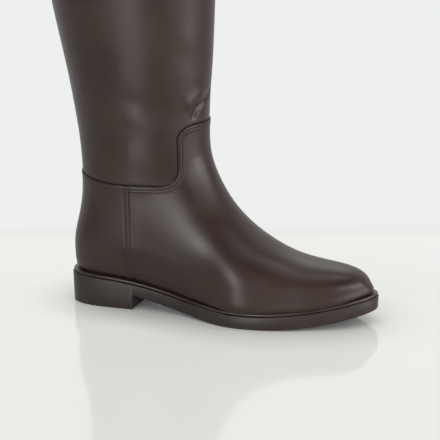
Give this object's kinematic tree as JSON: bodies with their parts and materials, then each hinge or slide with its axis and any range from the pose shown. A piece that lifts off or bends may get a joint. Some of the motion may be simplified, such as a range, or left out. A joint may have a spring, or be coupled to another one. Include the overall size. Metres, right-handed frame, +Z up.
{
  "type": "knee-high boot",
  "caption": "Knee-high leather riding boot, a hollow upper of vamp, quarter and shaft, open at the collar, on a moulded rubber sole with a low block heel.",
  "frame": {"origin": "on the floor, below the middle of the boot's bounding box", "axes": "+X from heel to toe, +Y to the inner side of the leg, +Z up from the floor to the collar"},
  "size_m": [0.2864, 0.1054, 0.42],
  "materials": {
    "upper_leather": "satin, smooth grain",
    "welt_leather": "satin",
    "sole_rubber": "matte, lightly worn",
    "insole_leather": "matte"
  },
  "bodies": {
    "root": {"outsole": "sole_rubber", "welt": "welt_leather", "insole": "insole_leather", "vamp": "upper_leather", "quarter": "upper_leather", "shaft": "upper_leather"}
  },
  "joints": []
}
